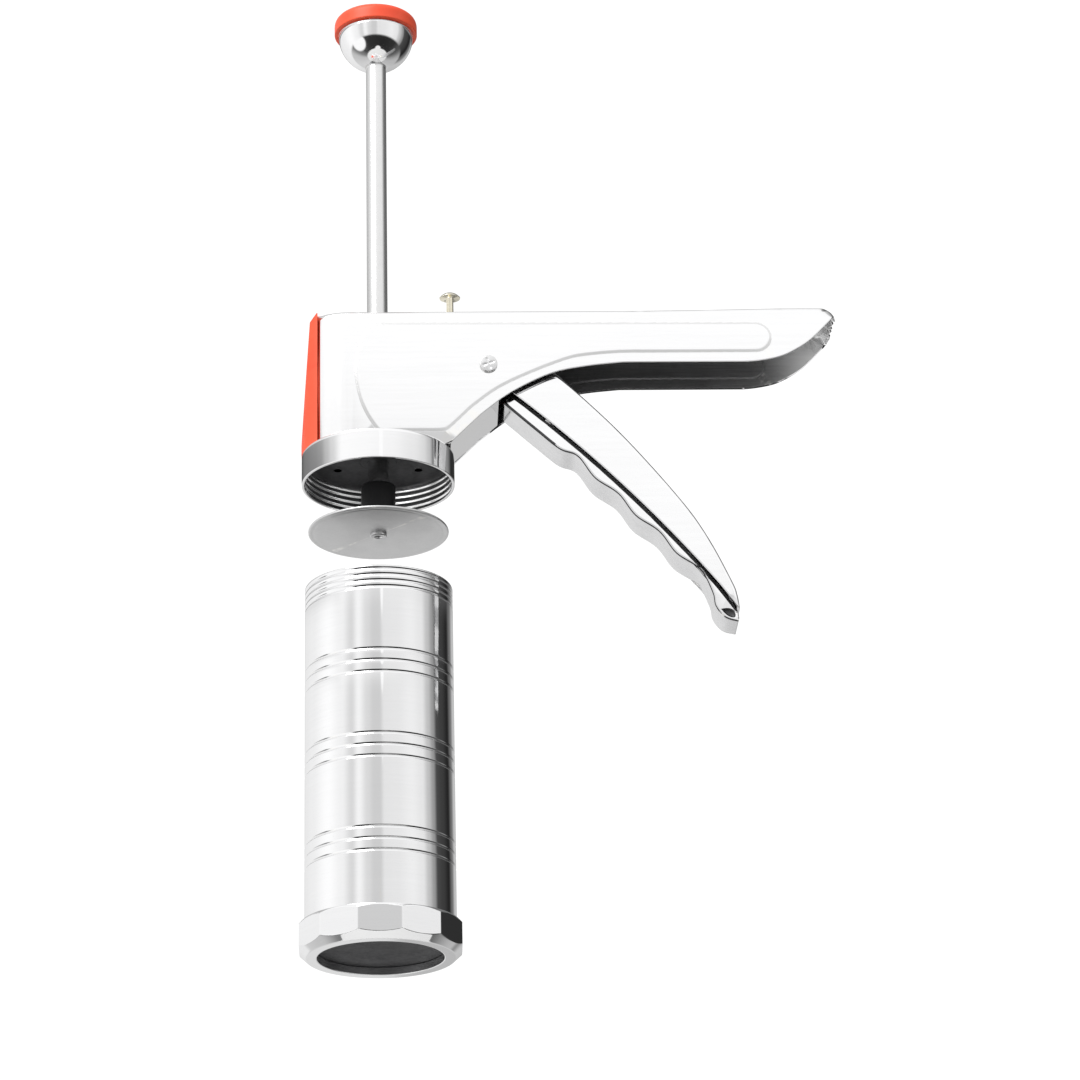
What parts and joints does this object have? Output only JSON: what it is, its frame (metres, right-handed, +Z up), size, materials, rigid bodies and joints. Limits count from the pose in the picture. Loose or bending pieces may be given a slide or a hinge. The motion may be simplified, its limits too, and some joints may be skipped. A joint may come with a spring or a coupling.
{
  "type": "cookie press",
  "caption": "Hand cookie press with a trigger-driven plunger rod, a threaded head collar, a piston disc and a screw-on barrel with a faceted end cap, shown apart.",
  "frame": {"origin": "centre of the collar's lower rim, on the plunger rod's axis", "axes": "+Z up the rod to the knob, +X along the handle away from the nose, -Y the left side of the head"},
  "size_m": [0.1936, 0.0554, 0.3624],
  "materials": {
    "polished_steel": "mirror-polished stainless sheet",
    "rod_steel": "ground rod",
    "satin_steel": "satin",
    "disc_steel": "fine satin",
    "rivet_steel": "struck rivet head",
    "spring_steel": "drawn wire",
    "brass": "polished",
    "red_plastic": "moulded, glossy",
    "black_plastic": "moulded, satin",
    "rubber": "matt"
  },
  "bodies": {
    "head": {"left_side_shell": "polished_steel", "right_side_shell": "polished_steel", "underside_plate": "polished_steel", "front_cover": "red_plastic", "threaded_collar": "polished_steel", "base_plate": "black_plastic", "inner_frame": "satin_steel", "lower_guide_bush": "satin_steel", "upper_guide_bush": "satin_steel", "base_rivets": "satin_steel", "pivot_rivet": "rivet_steel"},
    "trigger": {"trigger_lever": "polished_steel", "trigger_grip": "polished_steel", "grip_rivets": "polished_steel", "lever_bush": "satin_steel"},
    "drive": {"grip_plate": "satin_steel", "drive_spring": "spring_steel"},
    "lock": {"lock_plate": "satin_steel"},
    "release": {"release_pin": "brass", "release_pin_clip": "spring_steel", "lock_spring": "spring_steel"},
    "plunger": {"plunger_rod": "rod_steel", "knob_dome": "polished_steel", "knob_nut": "satin_steel", "knob_cap": "red_plastic", "piston_hub": "black_plastic", "piston_disc": "disc_steel", "piston_screw": "satin_steel"},
    "barrel": {"barrel_tube": "polished_steel"},
    "die_stack": {"die_plate": "black_plastic", "sealing_washer": "rubber"},
    "cap": {"end_cap": "polished_steel"}
  },
  "joints": [
    {"name": "barrel_slide", "type": "slide", "parent": "head", "child": "barrel", "axis": [0, 0, 1], "range_m": [0, 0.047]},
    {"name": "plunger_slide", "type": "slide", "parent": "head", "child": "plunger", "axis": [0, 0, -1], "range_m": [-0.0085, 0.102]},
    {"name": "trigger_pivot", "type": "hinge", "parent": "head", "child": "trigger", "pos_m": [0.0397, 0, 0.0419], "axis": [0, -1, 0], "range_deg": [0, 34], "stiffness_Nm_per_rad": 0.4, "springref_deg": -17.19},
    {"name": "grip_plate_slide", "type": "slide", "parent": "head", "child": "drive", "axis": [0, 0, -1], "range_m": [0, 0.0165], "deforming": ["drive_spring"]},
    {"name": "release_slide", "type": "slide", "parent": "head", "child": "release", "axis": [0, 0, -1], "range_m": [0, 0.0026], "stiffness_N_per_m": 150, "springref_m": -0.002, "deforming": ["lock_spring"]},
    {"name": "lock_tilt", "type": "hinge", "parent": "head", "child": "lock", "pos_m": [-0.011, 0, 0.0572], "axis": [0, 1, 0], "range_deg": [0, 4.1]},
    {"name": "die_stack_drop", "type": "slide", "parent": "barrel", "child": "die_stack", "axis": [0, 0, -1], "range_m": [0, 0.0044]},
    {"name": "cap_turn", "type": "hinge", "parent": "die_stack", "child": "cap", "pos_m": [0, 0, -0.168], "axis": [0, 0, -1], "range_deg": [0, 722]}
  ],
  "couplings": [
    {"joint": "grip_plate_slide", "follows": "trigger_pivot", "m_per_rad": 0.0275},
    {"joint": "lock_tilt", "follows": "release_slide", "rad_per_m": 26.85},
    {"joint": "cap_turn", "follows": "die_stack_drop", "rad_per_m": 2856}
  ]
}
